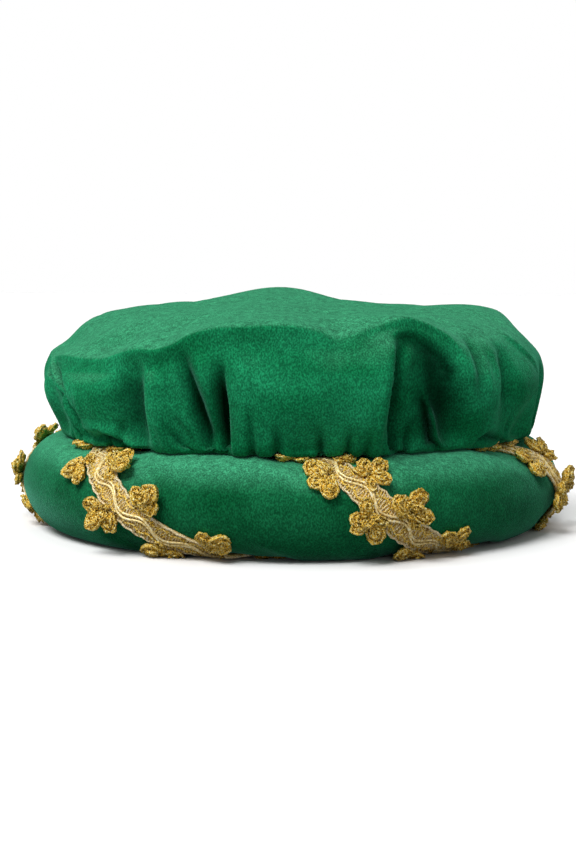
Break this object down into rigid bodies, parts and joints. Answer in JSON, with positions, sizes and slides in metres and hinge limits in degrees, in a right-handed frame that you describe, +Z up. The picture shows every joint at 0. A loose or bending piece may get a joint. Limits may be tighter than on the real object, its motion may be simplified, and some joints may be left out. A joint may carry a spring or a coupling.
{
  "type": "renaissance beret",
  "caption": "Soft velvet beret: a puffed crown gathered onto a padded roll, with a gold flower braid wound spirally round the roll.",
  "frame": {"origin": "middle of the hat's footprint, on the surface that its padded roll stands on", "axes": "+Z up, -Y towards the front of the hat, +X towards the right as seen from the front"},
  "size_m": [0.2953, 0.2966, 0.1238],
  "materials": {
    "crown_velvet": "green velvet with a soft crushed pile",
    "roll_velvet": "green velvet with a smooth pile over padding",
    "gold_braid": "metallic gold thread lace"
  },
  "bodies": {
    "root": {"crown": "crown_velvet", "roll": "roll_velvet", "flower_braid": "gold_braid"}
  },
  "joints": []
}
